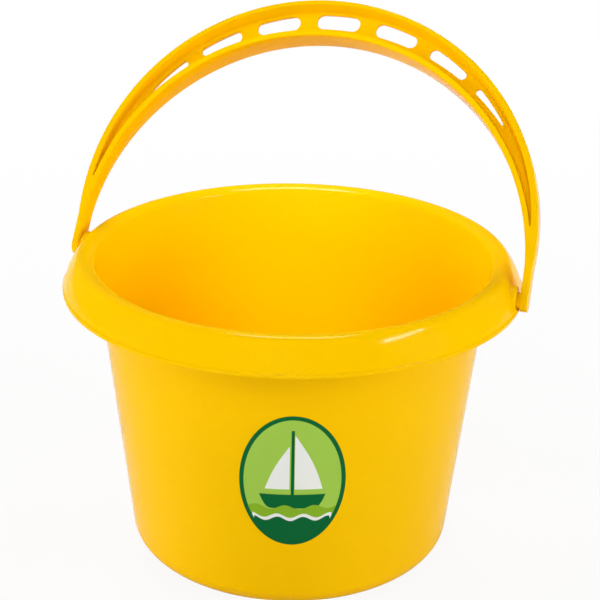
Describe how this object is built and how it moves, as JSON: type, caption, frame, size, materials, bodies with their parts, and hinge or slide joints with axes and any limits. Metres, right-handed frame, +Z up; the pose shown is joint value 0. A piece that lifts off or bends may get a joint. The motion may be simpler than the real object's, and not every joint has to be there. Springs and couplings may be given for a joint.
{
  "type": "sand bucket",
  "caption": "Round tapered plastic sand bucket with a rolled collar, a slotted swinging bail handle snapped into ears on the collar, and an oval sticker on the front.",
  "frame": {"origin": "centre of the base, on the ground plane", "axes": "+Z up along the bucket's axis, +X along the handle's pivot axis, -Y towards the front"},
  "size_m": [0.1972, 0.19, 0.2216],
  "materials": {
    "bucket_body": "glossy",
    "bail_handle": "glossy",
    "front_sticker": "satin"
  },
  "bodies": {
    "bucket": {"bucket_body": "bucket_body", "front_sticker": "front_sticker"},
    "handle": {"bail_handle": "bail_handle"}
  },
  "joints": [
    {"name": "handle_swing", "type": "hinge", "parent": "bucket", "child": "handle", "pos_m": [0, 0, 0.1206], "axis": [1, 0, 0], "range_deg": [-91, 158]}
  ]
}
